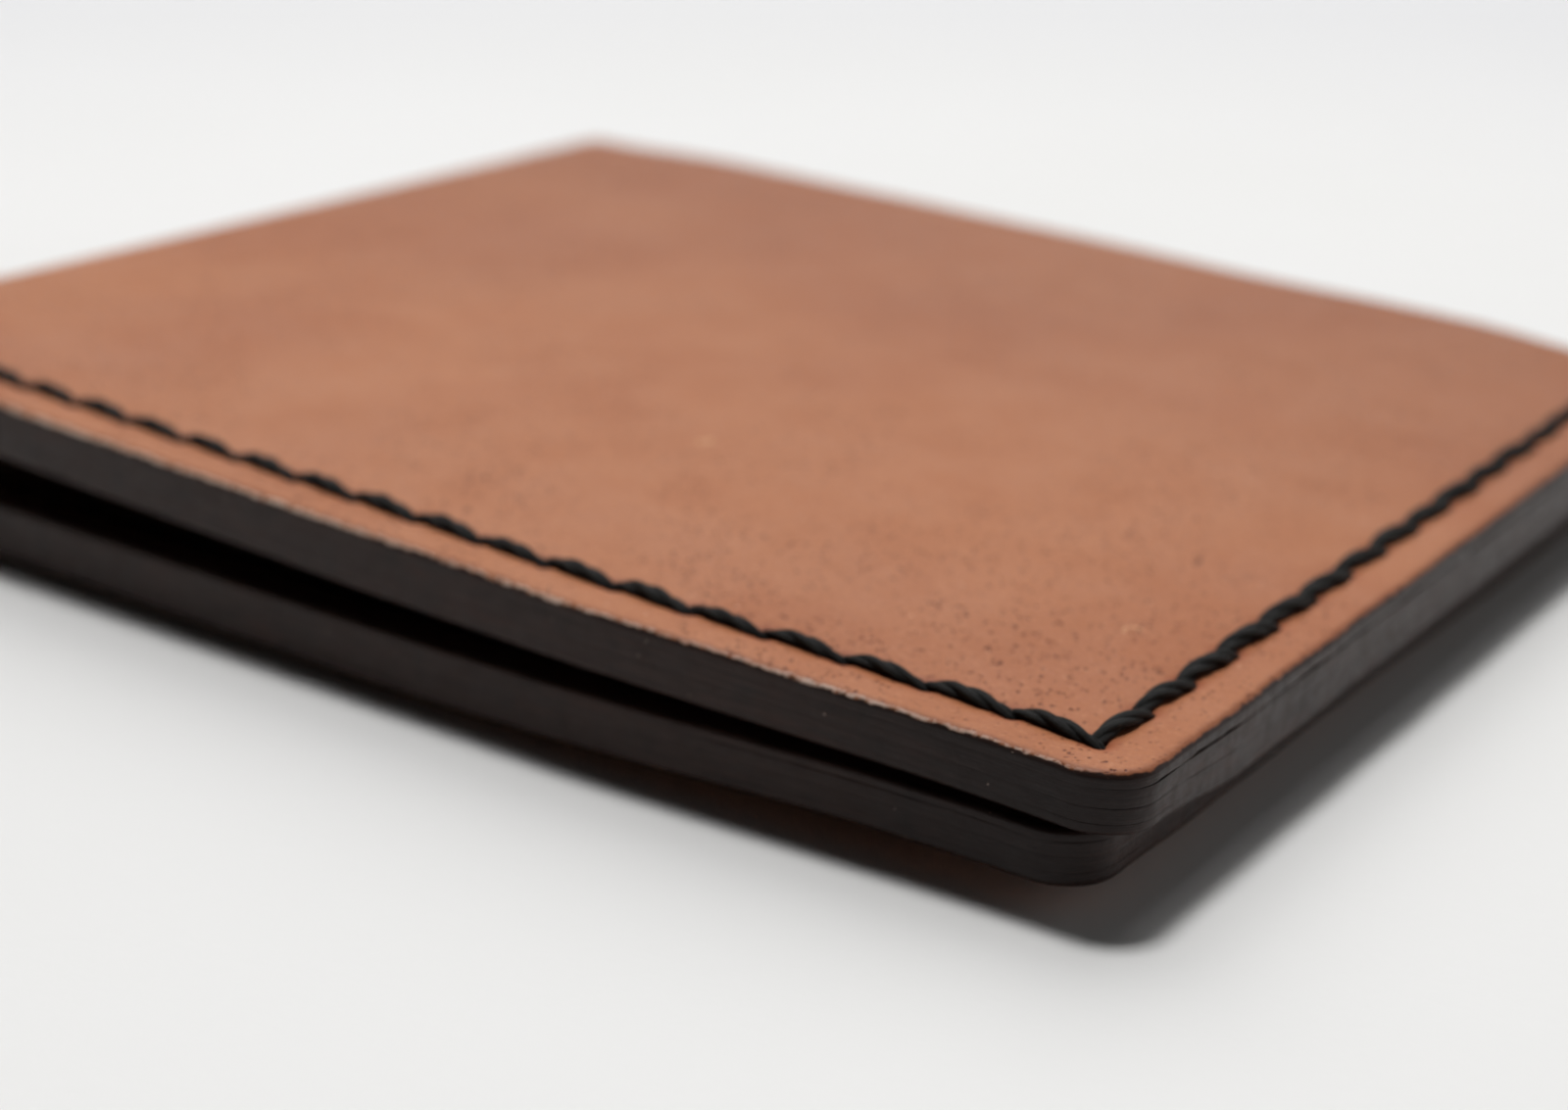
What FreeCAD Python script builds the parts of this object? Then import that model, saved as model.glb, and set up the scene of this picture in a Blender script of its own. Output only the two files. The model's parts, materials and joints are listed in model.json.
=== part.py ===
import FreeCAD, Part
import math
import os
import re

import Sketcher
from FreeCAD import Placement, Rotation, Vector

# Bifold leather card holder, closed, lying on its back half.
#
# Row frame: +X runs from the fold to the free edge, +Y from the stitched bottom
# edge to the open top edge, +Z up. The origin is on the resting plane, in the
# middle of the closed outline.
#
# Each half is a stack of four leather layers, listed from the outside in: cover,
# U-shaped edge filler, inner panel and card pocket. The halves touch along their
# free edges and open towards the fold by the angle rest_tilt. One cover runs
# around the fold. Its bend is cut into slices of equal angle, so that it can unfold:
# the outermost slices, half as wide, belong to the two flat cover panels.
#
# Every piece of a half is drawn in the half's own frame. Its X is zero on the
# free edge and negative towards the fold, and its Z is zero on the inner face.
# Levels are depths from that inner face, measured outwards through the stack.

SIZES = {
    "closed_width": 110.0,       # fold to free edge
    "closed_height": 88.0,       # bottom edge to open top edge
    "cover_leather": 1.0,
    "filler_leather": 1.2,
    "panel_leather": 1.0,
    "pocket_leather": 0.8,
    "panel_rise": 0.5,           # how far the middle of a cover stands proud of its seams
    "shoulder_slope": 0.45,      # height and width of the slope around that middle
    "rest_tilt": 2.2,            # angle between the closed halves, in degrees
    "back_setback": 1.8,         # the back half stops short of the front half's free edge
    "top_setback": 1.0,          # the inner layers stop short of the cover's top edge
    "outer_corner": 3.5,         # corner radius between the bottom and the free edge
    "small_corner": 1.5,         # corner radius at the open top and on the fold side
    "mouth_corner": 3.0,         # corner radius where the pocket's cut meets its top edge
    "stack_width": 96.0,         # free edge to the fold side of the inner layers
    "card_width": 85.6,
    "card_play": 0.8,            # room beside a card, both sides together
    "card_room": 0.85,           # thickness that a card slot leaves free
    "wall": 0.4,                 # leather left around the pressed-in card tray
    "slot_inset": 4.9,           # free edge or bottom edge to the card slot
    "seam_inset": 3.6,           # free edge or bottom edge to the stitch line
    "stitch_pitch": 5.0,
    "bottom_stitches": 18.0,
    "side_stitches": 16.0,
    "thread_size": 0.8,
    "hole_size": 1.0,
    "groove_depth": 0.45,
    "thread_proud": 0.35,        # how far an outer stitch stands out of the cover
    "thread_gap": 0.05,          # clearance between thread and leather
    "scoop_width": 56.0,         # U-shaped cut in the card pocket
    "pocket_depth": 46.0,        # bottom edge to the lowest point of that cut
    "spine_strips": 2.0,         # loose slices of the bend
}

STACK = "(cover_leather + filler_leather + panel_leather + pocket_leather)"
MEETING_PLANE = f"({STACK} + panel_rise)"
SPINE_RADIUS = (
    f"((closed_width * sin(rest_tilt) + {STACK} * (1 + cos(rest_tilt)))"
    " / (1 + sin(rest_tilt) + cos(rest_tilt)))"
)
STRIP_ANGLE = "((180 + rest_tilt) / (spine_strips + 1))"

# Levels of a half, outwards from its inner face.
PANEL_LEVEL = "pocket_leather"
FILLER_LEVEL = "(pocket_leather + panel_leather)"
COVER_LEVEL = "(pocket_leather + panel_leather + filler_leather)"

# Lines of a half, in its own frame.
FREE_EDGE = "0"
STACK_END = "-stack_width"
BOTTOM = "(-closed_height / 2)"
COVER_TOP = "(closed_height / 2)"
INNER_TOP = "(closed_height / 2 - top_setback)"
SLOT_NEAR = "-slot_inset"
SLOT_FAR = "(-slot_inset - card_width - card_play)"
SLOT_BOTTOM = "(-closed_height / 2 + slot_inset)"
SEAM_SIDE = "-seam_inset"
SEAM_FOLD = "(-seam_inset - bottom_stitches * stitch_pitch)"
SEAM_BOTTOM = "(-closed_height / 2 + seam_inset)"
SEAM_TOP = "(-closed_height / 2 + seam_inset + side_stitches * stitch_pitch)"
BURIED_THREAD = "(groove_depth - 2 * thread_gap)"

SAME_PLACE = 1e-4  # points closer than this, in millimetres, count as one

doc = FreeCAD.newDocument("card_holder")
sheet = doc.addObject("Spreadsheet::Sheet", "Dimensions")
for row, (alias, size) in enumerate(SIZES.items(), start=1):
    sheet.set(f"A{row}", alias)
    sheet.set(f"B{row}", str(size))
    sheet.setAlias(f"B{row}", alias)
doc.recompute()


class Half:
    """One half of the holder: its name, and +1 or -1 for which way is outwards."""

    def __init__(self, name, outward, tilt, setback):
        self.name = name
        self.outward = outward
        self.tilt = tilt
        self.setback = setback

    def depth(self, level):
        """The Z of a level in the half's own frame."""
        return f"({self.outward} * ({level}))"


BACK = Half("back", -1, "0", "back_setback")
FRONT = Half("front", 1, "rest_tilt", "0")


def dim(expression):
    """The expression with every size replaced by its cell in the sheet."""
    def cell(word):
        return f"Dimensions.{word[0]}" if word[0] in SIZES else word[0]
    return re.sub(r"[a-z_]+", cell, expression)


def value(expression):
    return float(sheet.evalExpression(dim(expression)))


def bind(thing, name, expression):
    thing.setExpression(name, dim(expression))


def origin_feature(body, role):
    return next(item for item in body.Origin.OriginFeatures if item.Role == role)


def new_body(label):
    body = doc.addObject("PartDesign::Body", label)
    body.Label = label
    return body


def half_body(label, half):
    """A body in the half's frame: on its free edge, turned by its tilt."""
    body = new_body(label)
    body.Placement = Placement(Vector(), Rotation(Vector(0, 1, 0), value(half.tilt)))
    bind(body, "Placement.Base.x", f"closed_width / 2 - {half.setback}")
    bind(body, "Placement.Base.z", MEETING_PLANE)
    if half.tilt != "0":
        bind(body, "Placement.Rotation.Angle", half.tilt)
    return body


def new_sketch(body, name, plane, offset):
    sketch = body.newObject("Sketcher::SketchObject", name)
    sketch.AttachmentSupport = [(origin_feature(body, plane), "")]
    sketch.MapMode = "FlatFace"
    bind(sketch, "AttachmentOffset.Base.z", offset)
    return sketch


def bound_constraint(sketch, arguments, expression):
    constraint = Sketcher.Constraint(*arguments, value(expression))
    index = sketch.addConstraint(constraint)
    bind(sketch, f"Constraints[{index}]", expression)


def place_point(sketch, line, vertex, x, y):
    bound_constraint(sketch, ("DistanceX", -1, 1, line, vertex), x)
    bound_constraint(sketch, ("DistanceY", -1, 1, line, vertex), y)


def polygon(body, name, corners, offset, plane="XY_Plane"):
    """A closed outline through corners given as pairs of expressions."""
    sketch = new_sketch(body, name, plane, offset)
    points = [Vector(value(x), value(y), 0) for x, y in corners]
    for start, end in zip(points, points[1:] + points[:1]):
        sketch.addGeometry(Part.LineSegment(start, end))
    for line, (x, y) in enumerate(corners):
        previous = (line - 1) % len(corners)
        sketch.addConstraint(Sketcher.Constraint("Coincident", line, 1, previous, 2))
        place_point(sketch, line, 1, x, y)
    return sketch


def rectangle(body, name, x_range, y_range, offset, plane="XY_Plane"):
    (x_low, x_high), (y_low, y_high) = x_range, y_range
    corners = [(x_low, y_low), (x_high, y_low), (x_high, y_high), (x_low, y_high)]
    return polygon(body, name, corners, offset, plane)


def circle(body, name, x, y, diameter, offset):
    sketch = new_sketch(body, name, "XY_Plane", offset)
    centre = Vector(value(x), value(y), 0)
    sketch.addGeometry(Part.Circle(centre, Vector(0, 0, 1), value(diameter) / 2))
    place_point(sketch, 0, 3, x, y)
    bound_constraint(sketch, ("Diameter", 0), diameter)
    return sketch


def pad(body, sketch, thickness, outward):
    """Leather grown from the sketch, towards outward."""
    feature = body.newObject("PartDesign::Pad", sketch.Name + "_pad")
    feature.Profile = sketch
    feature.Reversed = outward < 0
    bind(feature, "Length", thickness)
    sketch.Visibility = False
    return feature


def cut(body, sketch, depth, outward):
    """Leather taken away from the sketch's plane, towards outward."""
    feature = body.newObject("PartDesign::Pocket", sketch.Name + "_cut")
    feature.Profile = sketch
    feature.Reversed = outward > 0
    bind(feature, "Length", depth)
    sketch.Visibility = False
    return feature


def edges_near(feature, is_wanted):
    """Names of the feature's edges whose two ends both pass is_wanted."""
    names = []
    for index, edge in enumerate(feature.Shape.Edges, start=1):
        if all(is_wanted(vertex.Point) for vertex in edge.Vertexes):
            names.append(f"Edge{index}")
    return names


def upright_edges(feature, x, y):
    x_wanted, y_wanted = value(x), value(y)
    return edges_near(
        feature,
        lambda point: math.hypot(point.x - x_wanted, point.y - y_wanted) < SAME_PLACE,
    )


def round_corner(body, name, x, y, radius):
    """Round the body's upright edges at x, y."""
    doc.recompute()
    base = body.Tip
    feature = body.newObject("PartDesign::Fillet", name)
    feature.Base = (base, upright_edges(base, x, y))
    bind(feature, "Radius", radius)
    return feature


def repeat(body, name, features, axis, is_reversed, spacing, count):
    pattern = body.newObject("PartDesign::LinearPattern", name)
    pattern.Originals = features
    pattern.Direction = (origin_feature(body, axis), [""])
    pattern.Reversed = is_reversed
    bind(pattern, "Length", f"{spacing} * ({count} - 1)")
    bind(pattern, "Occurrences", count)
    body.Tip = pattern
    return pattern


def hole_row(body, half, name, start, level, depth, axis, count):
    """A row of awl holes from start, towards the fold or up towards the open top."""
    sketch = circle(body, name, *start, "hole_size", half.depth(level))
    first = cut(body, sketch, depth, half.outward)
    repeat(body, f"{name}_row", [first], axis, axis == "X_Axis", "stitch_pitch", count)


def stitch_holes(body, half, level, depth, has_fold_row):
    """Awl holes: along the bottom, up the free side and, if asked, up the fold side."""
    row = (body, half)
    above_corner = f"({SEAM_BOTTOM} + stitch_pitch)"
    hole_row(*row, "bottom_hole", (SEAM_SIDE, SEAM_BOTTOM), level, depth, "X_Axis",
             "bottom_stitches + 1")
    hole_row(*row, "side_hole", (SEAM_SIDE, above_corner), level, depth, "Y_Axis",
             "side_stitches")
    if has_fold_row:
        hole_row(*row, "fold_hole", (SEAM_FOLD, above_corner), level, depth, "Y_Axis",
                 "side_stitches")


def seam_band(width, has_fold_row):
    """Corners of the band that a seam covers, along the bottom and up its sides."""
    def beside(line, sign):
        return f"({line} {sign} {width} / 2)"

    top = beside(SEAM_TOP, "+")
    low, high = beside(SEAM_BOTTOM, "-"), beside(SEAM_BOTTOM, "+")
    corners = [
        (beside(SEAM_SIDE, "+"), low),
        (beside(SEAM_SIDE, "+"), top),
        (beside(SEAM_SIDE, "-"), top),
        (beside(SEAM_SIDE, "-"), high),
    ]
    if has_fold_row:
        corners += [
            (beside(SEAM_FOLD, "+"), high),
            (beside(SEAM_FOLD, "+"), top),
            (beside(SEAM_FOLD, "-"), top),
        ]
    else:
        corners.append((beside(SEAM_FOLD, "-"), high))
    corners.append((beside(SEAM_FOLD, "-"), low))
    return corners


def bend_slice(body, x, z, start, end):
    """A slice of the cover's bend around x and z, between two angles in degrees."""
    sketch = new_sketch(body, "bend", "XZ_Plane", "0")
    centre = Vector(value(x), value(z), 0)
    radii = (SPINE_RADIUS, f"({SPINE_RADIUS} - cover_leather)")
    turns = [math.radians(value(angle)) for angle in (start, end)]
    for arc, radius in enumerate(radii):
        ring = Part.Circle(centre, Vector(0, 0, 1), value(radius))
        sketch.addGeometry(Part.ArcOfCircle(ring, *turns))
        place_point(sketch, arc, 3, x, z)
        bound_constraint(sketch, ("Radius", arc), radius)
    outer, inner = map(value, radii)
    for vertex, turn, angle in zip((1, 2), turns, (start, end)):
        ray = Vector(math.cos(turn), math.sin(turn), 0)
        side = sketch.addGeometry(Part.LineSegment(centre + ray * inner, centre + ray * outer))
        sketch.addConstraint(Sketcher.Constraint("Coincident", side, 1, 1, vertex))
        sketch.addConstraint(Sketcher.Constraint("Coincident", side, 2, 0, vertex))
        sketch.addConstraint(Sketcher.Constraint("PointOnObject", 0, 3, side))
        bound_constraint(sketch, ("Angle", side), angle)
    bend = pad(body, sketch, "closed_height", 1)
    bend.Midplane = True


def cover_panel(half):
    """The cover of one half, with the first half slice of its bend."""
    body = half_body(f"cover_{half.name}_panel", half)
    bend_line = f"(-closed_width + {SPINE_RADIUS} + {half.setback})"
    whole = rectangle(
        body, "outline", (bend_line, FREE_EDGE), (BOTTOM, COVER_TOP), half.depth(COVER_LEVEL)
    )
    pad(body, whole, "cover_leather", half.outward)
    turns = ["90", f"(90 + {STRIP_ANGLE} / 2)"]
    if half.outward < 0:
        turns = [f"(-90 - {STRIP_ANGLE} / 2)", "-90"]
    bend_slice(body, bend_line, half.depth(f"{STACK} - {SPINE_RADIUS}"), *turns)
    round_corner(body, "outer_corner", FREE_EDGE, BOTTOM, "outer_corner")
    round_corner(body, "top_corner", FREE_EDGE, COVER_TOP, "small_corner")

    raised = rectangle(
        body, "raised_middle",
        (f"({SLOT_FAR} - wall)", f"({SLOT_NEAR} + wall)"),
        (f"({SLOT_BOTTOM} - wall)", COVER_TOP), half.depth(STACK),
    )
    rise = pad(body, raised, "panel_rise", half.outward)
    doc.recompute()
    crest = value(half.depth(MEETING_PLANE))
    open_end = value(COVER_TOP)
    shoulder = [
        name for name in edges_near(rise, lambda point: abs(point.z - crest) < SAME_PLACE)
        if rise.Shape.getElement(name).CenterOfMass.y < open_end - SAME_PLACE
    ]
    slope = body.newObject("PartDesign::Chamfer", "shoulder")
    slope.Base = (rise, shoulder)
    bind(slope, "Size", "shoulder_slope")

    note_slot = rectangle(
        body, "note_slot", (SLOT_FAR, SLOT_NEAR), (SLOT_BOTTOM, COVER_TOP), half.depth(COVER_LEVEL)
    )
    cut(body, note_slot, "panel_rise", half.outward)
    stitch_holes(body, half, COVER_LEVEL, "cover_leather", False)
    groove = polygon(body, "groove", seam_band("hole_size", False), half.depth(STACK))
    cut(body, groove, "groove_depth", -half.outward)


def edge_filler(half):
    """A U of leather that keeps the cover and the inner panel apart at their edges."""
    body = half_body(f"edge_filler_{half.name}", half)
    near, far = f"({SLOT_NEAR} + wall + thread_gap)", f"({SLOT_FAR} - wall - thread_gap)"
    low = f"({SLOT_BOTTOM} - wall - thread_gap)"
    corners = [
        (FREE_EDGE, BOTTOM), (FREE_EDGE, INNER_TOP), (near, INNER_TOP), (near, low),
        (far, low), (far, INNER_TOP), (STACK_END, INNER_TOP), (STACK_END, BOTTOM),
    ]
    pad(body, polygon(body, "outline", corners, half.depth(FILLER_LEVEL)), "filler_leather",
        half.outward)
    round_corner(body, "outer_corner", FREE_EDGE, BOTTOM, "outer_corner")
    round_corner(body, "fold_corner", STACK_END, BOTTOM, "small_corner")
    stitch_holes(body, half, FILLER_LEVEL, "filler_leather", True)
    groove = rectangle(
        body, "fold_groove",
        (f"({SEAM_FOLD} - hole_size / 2)", f"({SEAM_FOLD} + hole_size / 2)"),
        (f"({SEAM_BOTTOM} + stitch_pitch - hole_size / 2)", f"({SEAM_TOP} + hole_size / 2)"),
        half.depth(COVER_LEVEL),
    )
    cut(body, groove, "groove_depth", -half.outward)


def inner_panel(half):
    """The wall behind the cards, pressed outwards into a tray that a card slides down."""
    body = half_body(f"inner_panel_{half.name}", half)
    whole = rectangle(
        body, "outline", (STACK_END, FREE_EDGE), (BOTTOM, INNER_TOP), half.depth(PANEL_LEVEL)
    )
    pad(body, whole, "panel_leather", half.outward)
    round_corner(body, "outer_corner", FREE_EDGE, BOTTOM, "outer_corner")
    round_corner(body, "fold_corner", STACK_END, BOTTOM, "small_corner")
    tray_back = rectangle(
        body, "tray_back",
        (f"({SLOT_FAR} - wall)", f"({SLOT_NEAR} + wall)"),
        (f"({SLOT_BOTTOM} - wall)", INNER_TOP), half.depth(FILLER_LEVEL),
    )
    pad(body, tray_back, "card_room", half.outward)
    tray = rectangle(
        body, "tray", (SLOT_FAR, SLOT_NEAR), (SLOT_BOTTOM, INNER_TOP), half.depth(PANEL_LEVEL)
    )
    cut(body, tray, "card_room", half.outward)
    stitch_holes(body, half, PANEL_LEVEL, "panel_leather", True)


def card_pocket(half):
    """The innermost sheet: it holds the card, and its U-shaped cut bares the card's top."""
    body = half_body(f"card_pocket_{half.name}", half)
    whole = rectangle(body, "outline", (STACK_END, FREE_EDGE), (BOTTOM, INNER_TOP), "0")
    pad(body, whole, "pocket_leather", half.outward)
    round_corner(body, "outer_corner", FREE_EDGE, BOTTOM, "outer_corner")
    round_corner(body, "fold_corner", STACK_END, BOTTOM, "small_corner")

    middle = f"(({SLOT_NEAR} + {SLOT_FAR}) / 2)"
    left, right = f"({middle} - scoop_width / 2)", f"({middle} + scoop_width / 2)"
    round_centre = f"({BOTTOM} + pocket_depth + scoop_width / 2)"
    mouth = rectangle(body, "scoop_mouth", (left, right), (round_centre, INNER_TOP), "0")
    cut(body, mouth, "pocket_leather", half.outward)
    cut(body, circle(body, "scoop_round", middle, round_centre, "scoop_width", "0"),
        "pocket_leather", half.outward)
    round_corner(body, "mouth_left", left, INNER_TOP, "mouth_corner")
    round_corner(body, "mouth_right", right, INNER_TOP, "mouth_corner")

    stitch_holes(body, half, "0", "pocket_leather", True)
    groove = polygon(body, "groove", seam_band("hole_size", True), "0")
    cut(body, groove, "groove_depth", half.outward)


def shank_row(body, half, name, start, length, axis, count):
    """The parts of a thread inside a row of awl holes."""
    sketch = circle(body, name, *start, "thread_size", half.depth("thread_gap"))
    first = pad(body, sketch, length, half.outward)
    repeat(body, f"{name}_row", [first], axis, axis == "X_Axis", "stitch_pitch", count)


def edge_thread(half):
    """Saddle stitching through all four layers, along the bottom and up the free side."""
    body = half_body(f"edge_thread_{half.name}", half)
    inner_run = polygon(
        body, "inner_run", seam_band("thread_size", False), half.depth("thread_gap")
    )
    pad(body, inner_run, BURIED_THREAD, half.outward)
    length = f"({STACK} - groove_depth)"
    shank_row(body, half, "bottom_shank", (SEAM_SIDE, SEAM_BOTTOM), length, "X_Axis",
              "bottom_stitches + 1")
    shank_row(body, half, "side_shank", (SEAM_SIDE, f"({SEAM_BOTTOM} + stitch_pitch)"), length,
              "Y_Axis", "side_stitches")

    foot = half.depth(f"{STACK} - groove_depth + thread_gap")
    knee = half.depth(f"{STACK} - thread_gap")
    crown = half.depth(f"{STACK} + thread_proud")
    run_in = "thread_size"

    def stitch(name, plane, start, direction, across):
        """One outer stitch from start, humped between its two holes."""
        def along(distance):
            return f"({start} {direction} {distance})"
        profile = [
            (along("0"), foot), (along("0"), knee), (along(run_in), crown),
            (along(f"(stitch_pitch - {run_in})"), crown), (along("stitch_pitch"), knee),
            (along("stitch_pitch"), foot),
        ]
        hump = pad(body, polygon(body, name, profile, across, plane), "thread_size", 1)
        hump.Midplane = True
        return hump

    bottom = stitch("bottom_stitch", "XZ_Plane", SEAM_SIDE, "-", f"-{SEAM_BOTTOM}")
    repeat(body, "bottom_run", [bottom], "X_Axis", True, "stitch_pitch", "bottom_stitches")
    side = stitch("side_stitch", "YZ_Plane", SEAM_BOTTOM, "+", SEAM_SIDE)
    repeat(body, "side_run", [side], "Y_Axis", False, "stitch_pitch", "side_stitches")


def pocket_thread(half):
    """The seam on the fold side: card pocket, inner panel and filler, not the cover."""
    body = half_body(f"pocket_thread_{half.name}", half)
    first = f"({SEAM_BOTTOM} + stitch_pitch)"
    x_range = (f"({SEAM_FOLD} - thread_size / 2)", f"({SEAM_FOLD} + thread_size / 2)")
    y_range = (f"({first} - thread_size / 2)", f"({SEAM_TOP} + thread_size / 2)")
    inner = rectangle(body, "inner_run", x_range, y_range, half.depth("thread_gap"))
    pad(body, inner, BURIED_THREAD, half.outward)
    shank_row(body, half, "shank", (SEAM_FOLD, first), f"({COVER_LEVEL} - 2 * thread_gap)",
              "Y_Axis", "side_stitches")
    outer_level = f"({COVER_LEVEL} - groove_depth + thread_gap)"
    outer = rectangle(body, "outer_run", x_range, y_range, half.depth(outer_level))
    pad(body, outer, BURIED_THREAD, half.outward)


def spine_strip(number):
    """Slice number of the cover's bend, counted from the back half."""
    body = new_body(f"cover_spine_{number}")
    turn = f"({STRIP_ANGLE} * {number})"
    body.Placement = Placement(Vector(), Rotation(Vector(0, 1, 0), value(turn)))
    bind(body, "Placement.Base.x", f"-closed_width / 2 + {SPINE_RADIUS}")
    bind(body, "Placement.Base.z", f"panel_rise + {SPINE_RADIUS}")
    bind(body, "Placement.Rotation.Angle", turn)
    bend_slice(body, "0", "0", f"(-90 - {STRIP_ANGLE} / 2)", f"(-90 + {STRIP_ANGLE} / 2)")


for half in (BACK, FRONT):
    cover_panel(half)
    edge_filler(half)
    inner_panel(half)
    card_pocket(half)
    edge_thread(half)
    pocket_thread(half)
for number in range(1, int(SIZES["spine_strips"]) + 1):
    spine_strip(number)
doc.recompute()

for item in doc.Objects:
    if "Invalid" in item.State or "Error" in item.State:
        raise RuntimeError(f"{item.Name} ({item.Label}) failed: {item.State}")
bodies = [item for item in doc.Objects if item.TypeId == "PartDesign::Body"]
for body in bodies:
    if body.Shape.isNull() or not body.Shape.isValid():
        raise RuntimeError(f"{body.Label} has no valid shape")
    if len(body.Shape.Solids) != 1:
        raise RuntimeError(f"{body.Label} is {len(body.Shape.Solids)} solids")

os.makedirs("parts", exist_ok=True)
for body in bodies:
    body.Shape.exportStep(f"parts/{body.Label}.step")
    print(body.Label, round(body.Shape.Volume, 2), body.Shape.BoundBox)
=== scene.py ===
import json
import math

import bpy
import numpy as np
from mathutils import Matrix, Vector
from mathutils.geometry import delaunay_2d_cdt


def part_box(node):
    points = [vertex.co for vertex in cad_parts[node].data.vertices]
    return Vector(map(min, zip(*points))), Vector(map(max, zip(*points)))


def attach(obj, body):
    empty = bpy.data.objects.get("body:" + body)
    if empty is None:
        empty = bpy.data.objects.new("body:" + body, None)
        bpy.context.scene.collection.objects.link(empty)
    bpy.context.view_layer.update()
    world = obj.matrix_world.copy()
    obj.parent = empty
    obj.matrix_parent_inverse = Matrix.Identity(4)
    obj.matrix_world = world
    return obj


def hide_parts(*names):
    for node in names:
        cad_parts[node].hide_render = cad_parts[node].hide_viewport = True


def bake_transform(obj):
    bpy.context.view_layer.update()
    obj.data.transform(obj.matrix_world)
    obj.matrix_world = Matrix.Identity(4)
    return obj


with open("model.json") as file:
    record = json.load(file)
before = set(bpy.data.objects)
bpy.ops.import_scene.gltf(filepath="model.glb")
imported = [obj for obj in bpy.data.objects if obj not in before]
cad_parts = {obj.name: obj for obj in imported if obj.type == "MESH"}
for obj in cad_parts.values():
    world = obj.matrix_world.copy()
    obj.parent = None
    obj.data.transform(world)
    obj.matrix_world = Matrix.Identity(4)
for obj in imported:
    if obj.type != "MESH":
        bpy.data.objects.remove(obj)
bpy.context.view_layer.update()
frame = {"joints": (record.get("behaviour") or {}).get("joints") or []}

# A closed bifold card holder. Lengths are in millimetres until a mesh is made.
#
# Each half is drawn in its own frame, as the CAD part is: u is zero on the free
# edge and negative towards the fold, y runs from the stitched bottom edge to the
# open top, and w is the depth from the inner face, outwards through the stack.
# Every sheet carries attributes for its material: "rest", its place on the flat,
# unfolded leather; "rim", its distance from the cut edge; "hole", its distance from
# the nearest awl hole; and a fourth, the rim's wear and shade: above zero where the
# outer rim is rubbed pale, below zero where it is darkened as painted shade.

MM = 0.001


# ---- Sizes read from the frame -------------------------------------------------

def box(node):
    low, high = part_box(node)
    return np.array(low) / MM, np.array(high) / MM


# Each hinge takes one slice of the fold's bend. Its line stands just outside the bend.
JOINTS = {joint["name"]: joint for joint in frame["joints"]}
SLICES = len(JOINTS)
FOLD_LINES = [np.array(JOINTS[f"fold_{n + 1}"]["pos_m"]) / MM for n in range(SLICES)]
SLICE = math.radians(JOINTS["fold_1"]["range_deg"][1])
SWEEP = SLICES * SLICE
TILT = SWEEP - math.pi
PIVOT = np.linalg.norm(FOLD_LINES[1] - FOLD_LINES[0]) / (2 * math.sin(SLICE / 2))
RADIUS = PIVOT * math.sin(SLICE / 2) / (SLICE / 2)
BEND_AXIS = FOLD_LINES[0] + PIVOT * np.array([math.sin(SLICE / 2), 0, math.cos(SLICE / 2)])
RISE = BEND_AXIS[2] - RADIUS

POCKET_LOW, POCKET_HIGH = box("card_pocket_back")
PANEL_LOW = box("inner_panel_back")[0]
FILLER_LOW, FILLER_HIGH = box("edge_filler_back")
COVER_LOW, COVER_HIGH = box("cover_back_panel")
THREAD_LOW, THREAD_HIGH = box("edge_thread_back")

MEETING = POCKET_HIGH[2]
POCKET_OUT = MEETING - POCKET_LOW[2]
PANEL_OUT = MEETING - FILLER_HIGH[2]
FILLER_OUT = MEETING - FILLER_LOW[2]
COVER_OUT = MEETING - RISE
CARD_ROOM = MEETING - PANEL_LOW[2] - PANEL_OUT
BOTTOM, COVER_TOP, INNER_TOP = COVER_LOW[1], COVER_HIGH[1], POCKET_HIGH[1]
CLOSED_WIDTH = 2 * (RADIUS - BEND_AXIS[0])
STACK_WIDTH = POCKET_HIGH[0] - POCKET_LOW[0]

# The seam runs down the middle of the CAD thread.
THREAD_SIZE = 0.8
SEAM_U = THREAD_HIGH[0] - THREAD_SIZE / 2 - COVER_HIGH[0]
SEAM_FOLD_U = THREAD_LOW[0] + THREAD_SIZE / 2 - COVER_HIGH[0]
SEAM_Y = THREAD_LOW[1] + THREAD_SIZE / 2
SEAM_TOP_Y = THREAD_HIGH[1] - THREAD_SIZE / 2
PITCH = 5
BOTTOM_STITCHES = round((SEAM_U - SEAM_FOLD_U) / PITCH)
SIDE_STITCHES = round((SEAM_TOP_Y - SEAM_Y) / PITCH)

SKIN = 0.001  # half the clearance between two layers that are glued together
FUSED = 0.0015  # rounding of an edge that is burnished into its neighbour
OUTER_CORNER = 3.5
SMALL_CORNER = 1.5


def smooth(t):
    t = np.clip(t, 0, 1)
    return t * t * (3 - 2 * t)


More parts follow.
